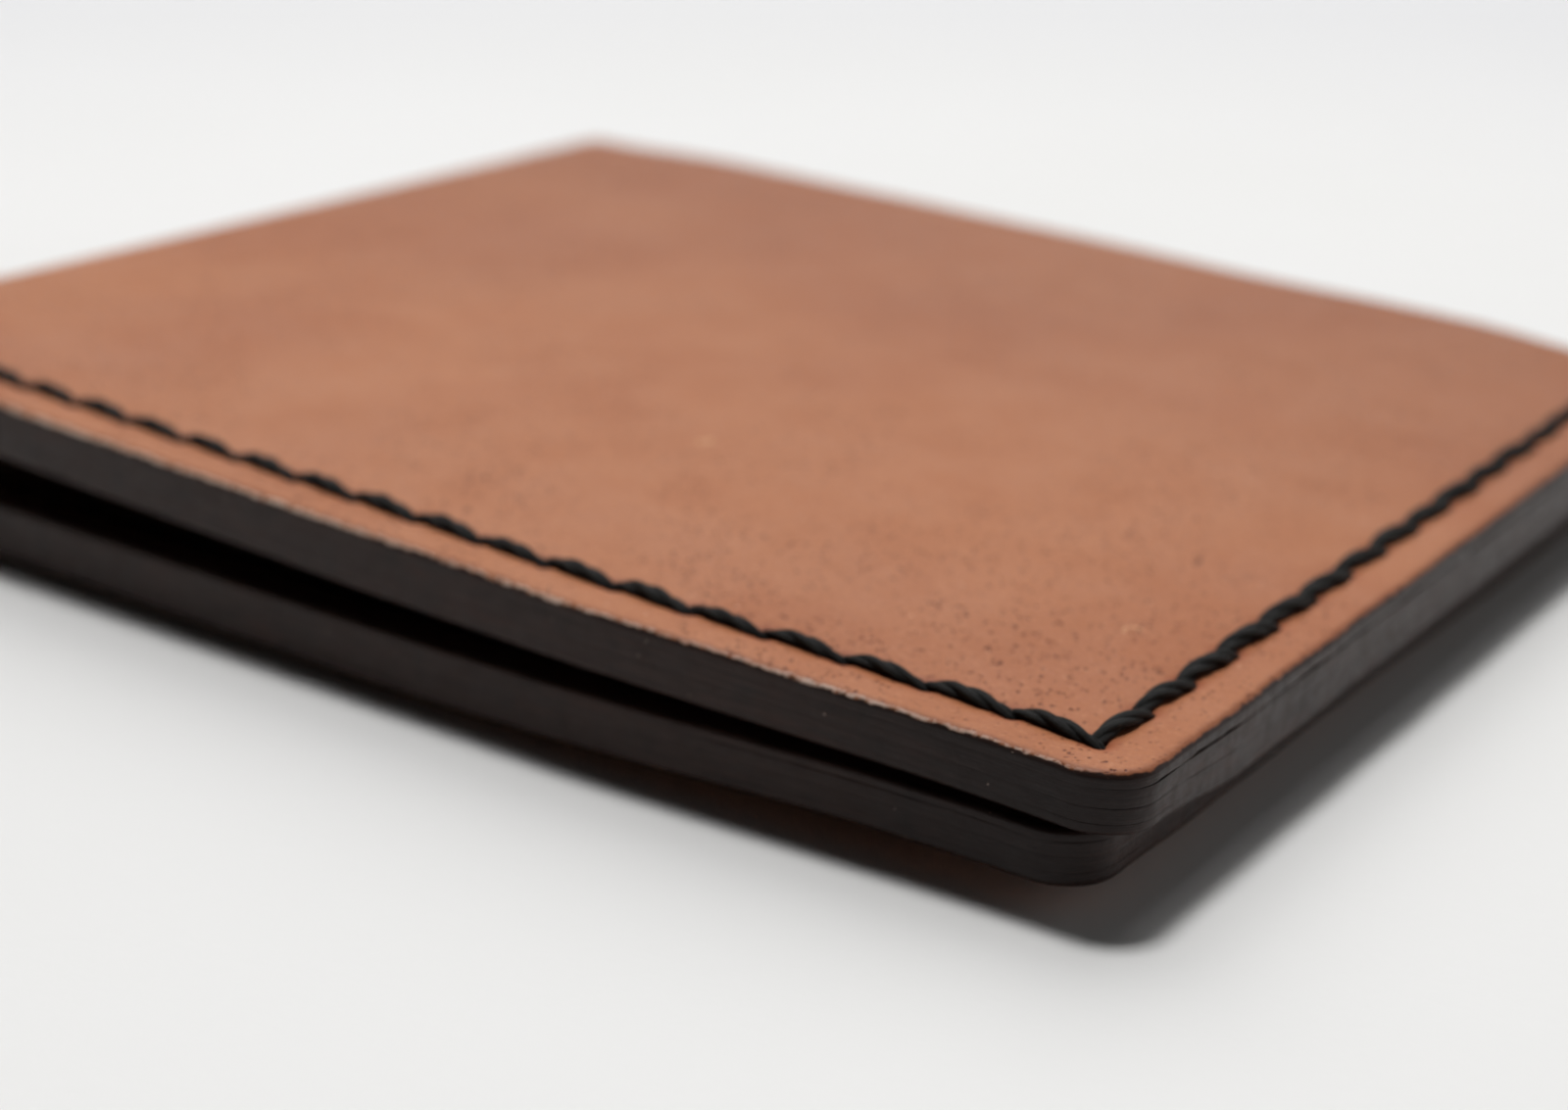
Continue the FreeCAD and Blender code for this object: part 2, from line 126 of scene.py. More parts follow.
class Half:
    """A half's frame in the row frame, and the length of its flat cover."""

    def __init__(self, name, flat, along, outwards, sign):
        self.name = name
        self.body = f"{name}_half"
        self.along, self.outwards = np.array(along), np.array(outwards)
        self.sign = sign
        self.flat = flat
        self.origin = BEND_AXIS + self.along * flat + self.outwards * (RADIUS - COVER_OUT)

    def settled(self, points):
        """How far use has shifted the leather outwards at points (u, y, w).

        Near the outer corner the pressed seams are thinner, the back half is lifted
        off the table, and the front half's free edge hangs over the back half's.
        """
        u, y, w = points.T
        part = np.clip(w / COVER_OUT, 0, 1)  # 0 on the inner face, 1 on the cover
        above = y - BOTTOM
        foot = smooth((u + 55) / 45) * (1 - smooth((above - 3) / 12))
        if self.sign > 0:
            lip = smooth((u + 1.8) / 1.0) * smooth((above - 4) / 10)
            return (1 - part) * (0.5 * foot - 0.45 * lip)
        side = smooth((u + 14) / 10) * (1 - smooth((above - 25) / 40))
        lifted = (0.9 + 0.25 * foot) * np.maximum(foot, side)
        return -0.42 * foot * (1 - part) - lifted * part

    def set_in(self, points):
        """How far in the stitched bottom edge lies at points, near the outer corner."""
        u, above = points[:, 0], points[:, 1] - BOTTOM
        crooked = 0.95 * smooth((u + 38) / 32) * (1 - smooth(above / 18))
        sanded = 0.2 * smooth((u + 25) / 20) * (1 - smooth(above / 3.4))
        return crooked + sanded

    def place(self, points):
        """Points (u, y, w) in the row frame. Past the flat length they follow the bend."""
        u, y, w = points.T
        w = w + self.settled(points)
        y = y + self.set_in(points)
        turn = np.maximum(-u - self.flat, 0) / RADIUS
        straight = np.maximum(u, -self.flat) + self.flat
        out = np.outer(np.cos(turn), self.outwards) - np.outer(np.sin(turn), self.along)
        spots = BEND_AXIS + np.outer(straight, self.along) + out * (RADIUS - COVER_OUT + w)[:, None]
        spots[:, 1] += y
        return spots

    def unfolded(self, points):
        """The same points on the flat leather, with the fold's middle at x = 0."""
        flat = np.array(points)
        flat[:, 0] = self.sign * (flat[:, 0] + self.flat + RADIUS * SWEEP / 2)
        return flat


BACK = Half("back", COVER_HIGH[0] - BEND_AXIS[0], (1.0, 0, 0), (0, 0, -1.0), -1)
FRONT = Half(
    "front", CLOSED_WIDTH - RADIUS, (math.cos(TILT), 0, -math.sin(TILT)),
    (math.sin(TILT), 0, math.cos(TILT)), 1,
)


# ---- Small helpers -------------------------------------------------------------

def waves(points, size, seed):
    """Soft unevenness between about -1 and 1, with bumps about size mm across."""
    rng = np.random.default_rng(seed)
    total = np.zeros(len(points))
    for _ in range(7):
        angle, phase = rng.uniform(0, 2 * math.pi, 2)
        pitch = size * rng.uniform(0.7, 1.6)
        run = points[:, 0] * math.cos(angle) + points[:, 1] * math.sin(angle)
        total += np.sin(run * 2 * math.pi / pitch + phase)
    return total / 3.5


def seam_holes(half):
    """Awl hole centres (u, y): the bottom row from the fold to the corner, then the side."""
    bottom = [(u, SEAM_Y) for u in np.linspace(SEAM_FOLD_U, SEAM_U, BOTTOM_STITCHES + 1)]
    side = [(SEAM_U, y) for y in np.linspace(SEAM_Y, SEAM_TOP_Y, SIDE_STITCHES + 1)]
    return np.array(bottom + side[1:])


def fold_side_holes():
    rows = np.linspace(SEAM_Y, SEAM_TOP_Y, SIDE_STITCHES + 1)[1:]
    return np.array([(SEAM_FOLD_U, y) for y in rows])


def nearest(points, targets):
    gaps = np.full(len(points), 1e3)
    for target in targets:
        gaps = np.minimum(gaps, np.hypot(*(points[:, :2] - target).T))
    return gaps


def line_distance(points, start, end):
    start, end = np.array(start, float), np.array(end, float)
    run = end - start
    t = np.clip((points[:, :2] - start) @ run / (run @ run), 0, 1)
    return np.hypot(*(points[:, :2] - start - t[:, None] * run).T)


def seam_distance(points, with_fold_side):
    corner = (SEAM_U, SEAM_Y)
    gaps = np.minimum(
        line_distance(points, corner, (SEAM_FOLD_U, SEAM_Y)),
        line_distance(points, corner, (SEAM_U, SEAM_TOP_Y)),
    )
    if with_fold_side:
        fold_side = line_distance(points, (SEAM_FOLD_U, SEAM_Y), (SEAM_FOLD_U, SEAM_TOP_Y))
        gaps = np.minimum(gaps, fold_side)
    return gaps


# ---- Outlines ------------------------------------------------------------------

ARC_STEP = 0.45
SAME_PLACE = 1e-6


def corner_arc(before, here, after, radius):
    """Points round the corner at here, between the corners before and after it."""
    if not radius:
        return [here]
    before, after = before - here, after - here
    before /= np.linalg.norm(before)
    after /= np.linalg.norm(after)
    half_angle = math.acos(np.clip(before @ after, -1, 1)) / 2
    reach = radius / math.tan(half_angle)
    middle = (before + after) / np.linalg.norm(before + after)
    centre = here + middle * radius / math.sin(half_angle)
    first, last = (
        math.atan2(*(here + side * reach - centre)[::-1]) for side in (before, after)
    )
    turn = (last - first + math.pi) % (2 * math.pi) - math.pi
    pieces = max(3, math.ceil(abs(turn) * radius / ARC_STEP))
    turns = (first + turn * k / pieces for k in range(pieces + 1))
    return [centre + radius * np.array([math.cos(a), math.sin(a)]) for a in turns]


def outline(corners, step=0.9):
    """A closed loop through (x, y, radius) corners, anticlockwise, with evenly spaced points."""
    count = len(corners)
    spots = [np.array(corner[:2], float) for corner in corners]
    arcs = [
        corner_arc(spots[n - 1], spots[n], spots[(n + 1) % count], corners[n][2])
        for n in range(count)
    ]
    points = []
    for n, arc in enumerate(arcs):
        points.extend(arc)
        run = arcs[(n + 1) % count][0] - arc[-1]
        pieces = max(1, round(np.linalg.norm(run) / step))
        points.extend(arc[-1] + run * k / pieces for k in range(1, pieces))
    return np.array(points)


def loop_normals(loop):
    """Outward normals of an anticlockwise loop."""
    run = np.roll(loop, -1, axis=0) - np.roll(loop, 1, axis=0)
    run /= np.linalg.norm(run, axis=1)[:, None]
    return np.column_stack([run[:, 1], -run[:, 0]])


def loop_distance(points, loop):
    """Distance to the loop, positive inside it."""
    gaps = np.full(len(points), 1e9)
    inside = np.zeros(len(points), bool)
    x, y = points[:, 0], points[:, 1]
    for start, end in zip(loop, np.roll(loop, -1, axis=0)):
        gaps = np.minimum(gaps, line_distance(points, start, end))
        crosses = (start[1] > y) != (end[1] > y)
        if start[1] != end[1]:
            at = start[0] + (y - start[1]) / (end[1] - start[1]) * (end[0] - start[0])
            inside ^= crosses & (x < at)
    return np.where(inside, gaps, -gaps)


def hexagons(low, high, pitch):
    """A lattice of points between two corners."""
    rows = np.arange(low[1], high[1], pitch * 0.866)
    columns = np.arange(low[0], high[0], pitch)
    grid = [(x + pitch / 2 * (n % 2), y) for n, y in enumerate(rows) for x in columns]
    return np.array(grid)


def filling(loop, levels, distance):
    """Inner points, denser near the seam: levels are (reach, pitch), nearest first."""
    low, high = loop.min(0), loop.max(0)
    chosen = []
    nearer = -1.0
    for reach, pitch in levels:
        points = hexagons(low, high, pitch)
        gaps = distance(points)
        points = points[(gaps >= nearer) & (gaps < reach)]
        clear = loop_distance(points, loop)
        chosen.append(points[clear > 0.6 * min(pitch, 0.9)])
        nearer = reach + pitch * 0.3
    return np.vstack(chosen)


# ---- Mesh making ---------------------------------------------------------------

def set_attribute(mesh, name, values):
    kind = "FLOAT_VECTOR" if values.ndim == 2 else "FLOAT"
    field = "vector" if values.ndim == 2 else "value"
    attribute = mesh.attributes.new(name, kind, "POINT")
    attribute.data.foreach_set(field, values.astype(np.float32).ravel())


def new_piece(name, points, faces, slots, materials, attributes, sharp_angle=50):
    """A mesh object from points in millimetres in the row frame."""
    mesh = bpy.data.meshes.new(name)
    mesh.from_pydata((points * MM).tolist(), [], faces)
    for material in materials:
        mesh.materials.append(material)
    mesh.polygons.foreach_set("material_index", slots)
    mesh.polygons.foreach_set("use_smooth", [True] * len(faces))
    for key, values in attributes.items():
        set_attribute(mesh, key, values)
    mesh.update()
    mesh.set_sharp_from_angle(angle=math.radians(sharp_angle))
    piece = bpy.data.objects.new(name, mesh)
    bpy.context.scene.collection.objects.link(piece)
    return piece


OUTER_SLOT, INNER_SLOT, EDGE_SLOT = 0, 1, 2  # a sheet's material slots

# Where the layers of an edge have come apart a little: for a half's sheet, runs along
# the edge (start, end, gap). A run is 0 at the outer corner, positive up the free
# edge and negative along the bottom.
OPEN_EDGES = {
    "cover_front": ((1.0, 95.0, 0.34), (-3.0, 2.5, 0.05)),
    "edge_filler_strip_front": ((-4.0, 30.0, 0.06),),
    "pocket_wall_front": ((-7.0, 8.0, 0.05), (-60.0, -30.0, 0.03)),
    "pocket_wall_back": ((-24.0, -4.0, 0.2), (-3.0, 6.0, 0.08)),
    "cover_back": ((-70.0, -40.0, 0.05), (10.0, 60.0, 0.06)),
}


def open_gap(name, loop):
    """How far the sheet's inner edge has parted from the next layer, along its loop."""
    run = loop[:, 1] - BOTTOM + loop[:, 0]
    gap = 0.012 * np.clip(waves(loop, 14, len(name)), 0, 1)
    for start, end, width in OPEN_EDGES.get(name, ()):
        fade = smooth((run - start) / 3) * smooth((end - run) / 3)
        ragged = 0.5 * waves(loop, 7, 61) + 0.5 * waves(loop, 2.2, 62)
        gap += width * fade * np.clip(0.6 + 0.7 * ragged, 0.05, 1.3)
    return gap


def rim_wear_and_shade(half, points):
    """1 where the outer rim is rubbed pale, and below 0 where painted shade darkens it.

    The front half's rim is rubbed along its bottom edge, in patches. The back half's rim faces the
    table and is painted shade all along.
    """
    # Painted shade: the back half's outer rim faces the table and is darkened all along.
    if half is BACK:
        return np.full(len(points), -1.5)
    along_bottom = smooth((-points[:, 0] - 1.5) / 4) * smooth((BOTTOM + 2.5 - points[:, 1]) / 2)
    return along_bottom * np.clip(0.75 + 0.5 * waves(points, 16, 71), 0, 1)


OUTER_RINGS, INNER_RINGS = 5, 4  # rings that round a sheet's outer and inner edge


def rounded_rim(high_rim, low_rim, top_round, low_round):
    """(inset, w) of each ring of a sheet's edge, from its outer face to its inner face."""
    rings = []
    for turn in np.linspace(0, math.pi / 2, OUTER_RINGS + 1)[1:]:
        inset, drop = top_round * (1 - math.sin(turn)), top_round * (1 - math.cos(turn))
        rings.append((inset, high_rim - drop))
    side = high_rim - low_rim - top_round - low_round
    for part in (1 / 3, 2 / 3):
        rings.append((0.0, high_rim - top_round - side * part))
    for turn in np.linspace(math.pi / 2, 0, INNER_RINGS + 1)[:-1]:
        inset, climb = low_round * (1 - math.sin(turn)), low_round * (1 - math.cos(turn))
        rings.append((inset, low_rim + climb))
    return rings


def square_ends(loop, normals, joins):
    """Turn the rim's normals along y at each u of joins, so that the end stays square."""
    foot_y, top_y = loop[:, 1].min(), loop[:, 1].max()
    for u in joins:
        here = np.abs(loop[:, 0] - u) < SAME_PLACE
        top, foot = loop[:, 1] > top_y - SAME_PLACE, loop[:, 1] < foot_y + SAME_PLACE
        normals[here] = np.column_stack([np.zeros(len(loop)), 1.0 * top - foot])[here]
    return normals


RIM_REACH = 20  # rim distances stop growing here
JOIN_REACH = 12
NO_HOLES = 50.0  # the hole distance on a sheet whose holes don't show


def rim_distances(points, loop, joins):
    """Distance from a sheet's cut edge at (u, y) points, for the colour along its rim.

    Near each u of joins the sheet goes on in another piece, so only its two ends count.
    """
    clear = np.minimum(loop_distance(points, loop), RIM_REACH)
    low, high = loop[:, 1].min(), loop[:, 1].max()
    for u in joins:
        ends = np.minimum(points[:, 1] - low, high - points[:, 1])
        beside = np.abs(points[:, 0] - u) < JOIN_REACH
        clear = np.where(beside, np.clip(ends, 0, RIM_REACH), clear)
    return clear


def edge_faces(starts, count):
    """Faces between rings of count points that begin at starts, and their material slots."""
    faces, slots = [], []
    for level, (upper, lower) in enumerate(zip(starts, starts[1:])):
        for n in range(count):
            after = (n + 1) % count
            faces.append((upper + after, upper + n, lower + n, lower + after))
            slots.append(OUTER_SLOT if level < OUTER_RINGS - 1 else EDGE_SLOT)
    return faces, slots


def sheet_piece(name, half, loop, inner, low_of, high_of, materials, holes, rim_round,
                joins=()):
    """A leather sheet with rounded edges.

    low_of and high_of give the inner and the outer face's w at points. materials are
    (outer, inner, edge), and rim_round holds the outer and the inner edge's radius.
    At each u of joins the sheet goes on in another piece, so its end is left square.
    """
    normals = square_ends(loop, loop_normals(loop), joins)
    sway = 0.03 * (waves(half.unfolded(np.column_stack([loop, loop[:, 0]])), 9.0, 5) - 1)
    loop = loop + normals * sway[:, None]
    ring_count = len(loop)
    top_round = rim_round[0]
    low_round = rim_round[1] + open_gap(name, loop)

    flat = np.vstack([loop - normals * top_round, inner])
    flat_points = [Vector(point) for point in flat]
    found, _, triangles, _, _, _ = delaunay_2d_cdt(
        flat_points, [], [list(range(ring_count))], 1, SAME_PLACE
    )
    flat = np.array([tuple(point) for point in found])
    low_flat = np.array(flat)
    low_flat[:ring_count] = loop - normals * low_round[:, None]
    high = np.column_stack([flat, high_of(flat)])
    low = np.column_stack([low_flat, low_of(low_flat)])

    # The points: the outer face, the rings of the edge, then the inner face.
    clear = rim_distances(flat, loop, joins)
    ends = np.minimum(loop[:, 1] - loop[:, 1].min(), loop[:, 1].max() - loop[:, 1])
    joined = np.any([np.abs(loop[:, 0] - u) < SAME_PLACE for u in joins], axis=0)
    blocks, insets = [high], [clear]
    rings = rounded_rim(high[:ring_count, 2], low[:ring_count, 2], top_round, low_round)
    for inset, w in rings:
        inset = np.zeros(ring_count) + inset
        blocks.append(np.column_stack([loop - normals * inset[:, None], w]))
        insets.append(np.where(joined, np.maximum(ends, inset), inset))
    blocks.append(low)
    insets.append(clear)
    local = np.vstack(blocks)

    outer = []
    for a, b, c in triangles:
        flipped = np.cross(flat[b] - flat[a], flat[c] - flat[a]) < 0
        outer.append((a, c, b) if flipped else (a, b, c))
    starts = [0] + [len(flat) + ring_count * k for k in range(len(rings) + 1)]
    edges, edge_slots = edge_faces(starts, ring_count)
    under = [tuple(starts[-1] + n for n in reversed(face)) for face in outer]
    faces = outer + edges + under
    slots = [OUTER_SLOT] * len(outer) + edge_slots + [INNER_SLOT] * len(under)
    if half.sign < 0:
        faces = [face[::-1] for face in faces]

    attributes = {
        "rest": half.unfolded(local),
        "rim": np.concatenate(insets),
        "hole": nearest(local, holes) if len(holes) else np.full(len(local), NO_HOLES),
        "worn": rim_wear_and_shade(half, local),
    }
    return new_piece(name, half.place(local), faces, slots, materials, attributes)


# ---- Materials -----------------------------------------------------------------

class Nodes:
    """A short way to write a material's nodes."""

    def __init__(self, name):
        self.material = bpy.data.materials.new(name)
        self.material.use_nodes = True
        self.tree = self.material.node_tree
        self.shader = self.tree.nodes["Principled BSDF"]
        self.rest = self.attribute("rest", "Vector")

    def link(self, source, target):
        self.tree.links.new(source, target)

    def node(self, kind, **settings):
        node = self.tree.nodes.new(kind)
        for key, setting in settings.items():
            setattr(node, key, setting)
        return node

    def feed(self, socket, source):
        if isinstance(source, (int, float, tuple)):
            socket.default_value = source
        else:
            self.link(source, socket)

    def attribute(self, name, output="Fac"):
        node = self.node("ShaderNodeAttribute", attribute_name=name)
        return node.outputs[output]

    def math(self, operation, a, b=0.0):
        node = self.node("ShaderNodeMath", operation=operation)
        self.feed(node.inputs[0], a)
        self.feed(node.inputs[1], b)
        return node.outputs[0]

    def vector_math(self, operation, vector, other=(0.0, 0.0, 0.0), output="Vector"):
        node = self.node("ShaderNodeVectorMath", operation=operation)
        self.link(vector, node.inputs[0])
        node.inputs[1].default_value = other
        return node.outputs[output]

    def stretch(self, vector, scale):
        return self.vector_math("MULTIPLY", vector, scale)

    def length(self, vector):
        return self.vector_math("LENGTH", vector, output="Value")

    def part(self, axis):
        """One axis of the rest place."""
        node = self.node("ShaderNodeSeparateXYZ")
        self.link(self.rest, node.inputs[0])
        return node.outputs[axis]

    def mapped(self, turn, scale):
        """The rest place turned about its normal, then stretched."""
        node = self.node("ShaderNodeMapping", vector_type="TEXTURE")
        self.link(self.rest, node.inputs["Vector"])
        node.inputs["Rotation"].default_value = (0.0, 0.0, turn)
        node.inputs["Scale"].default_value = scale
        return node.outputs["Vector"]

    def noise(self, scale, detail=3.0, roughness=0.55, vector=None, distortion=0.0):
        node = self.node("ShaderNodeTexNoise")
        self.link(vector or self.rest, node.inputs["Vector"])
        node.inputs["Scale"].default_value = scale
        node.inputs["Detail"].default_value = detail
        node.inputs["Roughness"].default_value = roughness
        node.inputs["Distortion"].default_value = distortion
        return node.outputs["Fac"]

    def cells(self, scale, feature="F1", vector=None):
        node = self.node("ShaderNodeTexVoronoi", feature=feature)
        self.link(vector or self.rest, node.inputs["Vector"])
        node.inputs["Scale"].default_value = scale
        return node.outputs["Distance"]

    def span(self, source, low, high, to_low=0.0, to_high=1.0):
        """source, mapped smoothly from low..high to to_low..to_high, and held there."""
        node = self.node("ShaderNodeMapRange", interpolation_type="SMOOTHSTEP")
        self.link(source, node.inputs["Value"])
        for key, number in zip(
            ("From Min", "From Max", "To Min", "To Max"), (low, high, to_low, to_high)
        ):
            node.inputs[key].default_value = number
        return node.outputs["Result"]

    def mix(self, factor, a, b):
        node = self.node("ShaderNodeMix", data_type="RGBA")
        self.feed(node.inputs[0], factor)
        self.feed(node.inputs[6], a)
        self.feed(node.inputs[7], b)
        return node.outputs[2]

    def bump(self, height, depth, below=None):
        """Relief of depth millimetres, on top of another relief."""
        node = self.node("ShaderNodeBump")
        node.inputs["Distance"].default_value = depth * MM
        self.link(height, node.inputs["Height"])
        if below is not None:
            self.link(below, node.inputs["Normal"])
        return node.outputs["Normal"]

    def finish(self, colour, roughness, normal, **others):
        inputs = self.shader.inputs
        self.feed(inputs["Base Color"], colour)
        self.feed(inputs["Roughness"], roughness)
        self.link(normal, inputs["Normal"])
        for key, setting in others.items():
            self.feed(inputs[key.replace("_", " ")], setting)
        return self.material


def colour(red, green, blue):
    """A colour from its 0 to 255 display values."""
    def linear(part):
        part /= 255
        return part / 12.92 if part <= 0.04045 else ((part + 0.055) / 1.055) ** 2.4
    return (linear(red), linear(green), linear(blue), 1.0)


# Marks on the front cover, at (u, y): two shallow dents (u, y, depth, reach), and two
# small part rings (u, y, radius, width, turn) that are a pale chip and a faint scuff.
DENTS = ((-39.0, 7.5, 0.16, 1.8), (-19.1, 29.0, 0.08, 2.0))
CHIP = (-43.3, -19.7, 0.4, 0.16, -0.6)
SCUFF = (-8.6, -26.7, 0.55, 0.1, 2.6)


def ring_mark(n, x, y, radius, width, turn):
    """1 on the part of a small uneven ring that faces turn, else 0."""
    spot = FRONT.unfolded(np.array([[x, y, 0.0]]))[0]
    flat = n.stretch(n.vector_math("SUBTRACT", n.rest, (*spot[:2], 0.0)), (1.0, 1.0, 0.0))
    wobble = n.math("MULTIPLY", n.math("SUBTRACT", n.noise(3.0, 2.0), 0.5), radius)
    reach = n.math("ADD", n.length(flat), wobble)
    off_ring = n.math("ABSOLUTE", n.math("SUBTRACT", reach, radius))
    facing = (math.cos(turn), math.sin(turn), 0.0)
    side = n.vector_math("DOT_PRODUCT", flat, facing, "Value")
    side = n.span(side, -0.3 * radius, 0.2 * radius)
    return n.math("MULTIPLY", n.span(off_ring, width * 0.4, width, 1.0, 0.0), side)


def tan_pores(n):
    """1 in round and slit-shaped pores, which crowd together in patches."""
    dots = n.cells(2.6, vector=n.mapped(0.0, (1.0, 1.3, 1.0)))
    slits = n.cells(1.8, vector=n.mapped(0.8, (2.4, 0.55, 1.0)))
    pores = n.math("MAXIMUM", n.span(dots, 0.2, 0.34, 1.0, 0.0),
                   n.span(slits, 0.1, 0.2, 1.0, 0.0))
    pores = n.math("MULTIPLY", pores, n.span(n.noise(1.3, 2.0), 0.44, 0.58))
    return n.math("MULTIPLY", pores, n.span(n.noise(0.09, 2.0), 0.36, 0.58))


def rim_tint(n, tint):
    """tint, reddened and burnt near the cut edge, with pale flakes where it is rubbed, and a wider,
    redder dark band of painted shade where the rim's wear value is below zero.
    """
    rim, worn = n.attribute("rim"), n.attribute("worn")
    uneven = n.span(n.noise(1.4, 4.0), 0.3, 0.7, -0.05, 0.05)
    # Where the rim's wear value is below zero, as on the back half, the dark band widens and the
    # red deepens: painted shade.
    shift = n.math("ADD", n.math("MULTIPLY", worn, 0.12), uneven)
    reach = n.math("ADD", rim, shift)
    reddened = n.math("MULTIPLY", n.span(reach, 0.15, 0.75, 0.5, 0.0),
                      n.math("SUBTRACT", 1.0, worn))
    tint = n.mix(reddened, tint, colour(96, 48, 34))
    tint = n.mix(n.span(reach, 0.11, 0.22, 1.0, 0.0), tint, colour(44, 30, 26))
    flakes = n.math("MULTIPLY", n.span(reach, 0.12, 0.18), n.span(reach, 0.24, 0.36, 1.0, 0.0))
    flakes = n.math("MULTIPLY", flakes, n.span(n.noise(2.4, 4.0, 0.7), 0.4, 0.52))
    flakes = n.math("MULTIPLY", flakes, worn)
    return n.mix(n.math("MULTIPLY", flakes, 0.9), tint, colour(236, 212, 196))


def scratches(n):
    """1 along a few long fine scratches."""
    lines = n.cells(0.45, "DISTANCE_TO_EDGE", n.stretch(n.rest, (0.35, 3.0, 1.0)))
    return n.math("MULTIPLY", n.span(lines, 0.0, 0.012, 1.0, 0.0),
                  n.span(n.noise(0.12, 1.0), 0.52, 0.6))


def tan_leather():
    """Smooth vegetable-tanned leather: mottled, with pores, fine scratches, a rim that is worn on
    the front half and painted shade on the back half, and a painted reflection that dulls it
    towards the open top.
    """
    n = Nodes("tan_leather")
    mottle = n.noise(0.035, 2.0, 0.5, distortion=0.6)
    cloud = n.noise(0.16, 4.0, 0.6)
    tint = n.mix(n.span(mottle, 0.35, 0.65), colour(172, 108, 72), colour(182, 119, 81))
    tint = n.mix(n.span(cloud, 0.4, 0.75, 0.0, 0.3), tint, colour(162, 98, 64))
    # Painted reflection: the tan turns duller and greyer towards the open top, far from the camera.
    far_reflection = n.span(n.part("Y"), -25.0, 50.0, 0.0, 0.55)
    tint = n.mix(far_reflection, tint, colour(150, 100, 76))

    grain = n.noise(3.6, 5.0, 0.7)
    tint = n.mix(n.span(grain, 0.35, 0.7, 0.0, 0.4), tint, colour(154, 92, 66))
    pale = n.noise(2.1, 4.0, 0.65)
    tint = n.mix(n.span(pale, 0.52, 0.75, 0.0, 0.35), tint, colour(206, 146, 108))
    pores = tan_pores(n)
    tint = n.mix(n.math("MULTIPLY", pores, 0.95), tint, colour(78, 32, 24))
    specks = n.span(n.cells(0.9), 0.05, 0.08, 1.0, 0.0)
    specks = n.math("MULTIPLY", specks, n.span(n.noise(0.4, 2.0), 0.48, 0.56))
    tint = n.mix(n.math("MULTIPLY", specks, 0.7), tint, colour(240, 200, 170))
    around_holes = n.span(n.attribute("hole"), 0.5, 1.5, 0.5, 0.0)
    tint = n.mix(around_holes, tint, colour(140, 68, 44))
    tint = rim_tint(n, tint)

    marks = n.math("MAXIMUM", ring_mark(n, *CHIP), n.math("MULTIPLY", ring_mark(n, *SCUFF), 0.55))
    tint = n.mix(n.math("MULTIPLY", marks, 0.85), tint, colour(235, 188, 140))
    tint = n.mix(n.math("MULTIPLY", scratches(n), 0.25), tint, colour(206, 152, 120))

    relief = n.bump(grain, 0.03)
    relief = n.bump(n.cells(4.5, "SMOOTH_F1"), 0.015, relief)
    relief = n.bump(n.math("SUBTRACT", 1.0, pores), 0.04, relief)
    rough = n.span(cloud, 0.3, 0.7, 0.42, 0.54)
    return n.finish(tint, rough, relief, Specular_IOR_Level=0.14)


def corner_shade(n):
    """1 on the bottom edges beside the two outer corners, where the edge gets painted shade, else
    0.
    """
    corner_x = abs(FRONT.unfolded(np.zeros((1, 3)))[0, 0])
    along = n.span(n.math("ABSOLUTE", n.part("X")), corner_x - 26, corner_x - 3)
    return n.math("MULTIPLY", along, n.span(n.part("Y"), BOTTOM + 0.5, BOTTOM + 4, 1.0, 0.0))


def burnished_edge():
    """Dyed and burnished leather edge: near black, waxed, with fine lines along it, and painted
    shade beside the outer corners.
    """
    n = Nodes("burnished_edge")
    streak = n.noise(1.6, 5.0, 0.65, vector=n.stretch(n.rest, (0.10, 0.10, 5.0)))
    patch = n.noise(0.5, 3.0)
    tint = n.mix(n.span(streak, 0.35, 0.7), colour(40, 25, 21), colour(62, 42, 35))
    tint = n.mix(n.span(patch, 0.45, 0.75, 0.0, 0.5), tint, colour(27, 18, 16))
    red = n.span(n.noise(0.35, 3.0, vector=n.stretch(n.rest, (0.5, 0.5, 2.0))), 0.55, 0.75)
    tint = n.mix(n.math("MULTIPLY", red, 0.4), tint, colour(72, 40, 30))
    # Painted shade: the bottom edge beside each outer corner is darkened.
    tint = n.mix(n.math("MULTIPLY", corner_shade(n), 0.8), tint, colour(24, 13, 11))
    speck = n.span(n.cells(1.1), 0.05, 0.08, 1.0, 0.0)
    speck = n.math("MULTIPLY", speck, n.span(n.noise(0.6, 2.0), 0.55, 0.62))
    tint = n.mix(n.math("MULTIPLY", speck, 0.7), tint, colour(190, 165, 150))
    relief = n.bump(streak, 0.035)
    relief = n.bump(n.noise(3.0, 3.0), 0.03, relief)
    rough = n.span(n.noise(1.2, 3.0), 0.3, 0.7, 0.3, 0.48)
    return n.finish(tint, rough, relief, Specular_IOR_Level=0.18, Coat_Weight=0.06,
                    Coat_Roughness=0.25)


def dark_leather():
    """Smooth dark brown leather of the pockets."""
    n = Nodes("dark_leather")
    cloud = n.noise(0.15, 4.0, 0.6)
    tint = n.mix(n.span(cloud, 0.35, 0.7), colour(66, 42, 32), colour(84, 54, 40))
    pebble = n.cells(2.6, "SMOOTH_F1")
    tint = n.mix(n.span(pebble, 0.1, 0.5, 0.3, 0.0), tint, colour(44, 28, 22))
    tint = n.mix(n.span(n.attribute("rim"), 0.05, 0.6, 0.7, 0.0), tint, colour(40, 27, 23))
    relief = n.bump(pebble, 0.05)
    relief = n.bump(n.noise(6.0, 3.0), 0.02, relief)
    rough = n.span(cloud, 0.3, 0.7, 0.42, 0.55)
    return n.finish(tint, rough, relief, Specular_IOR_Level=0.45)


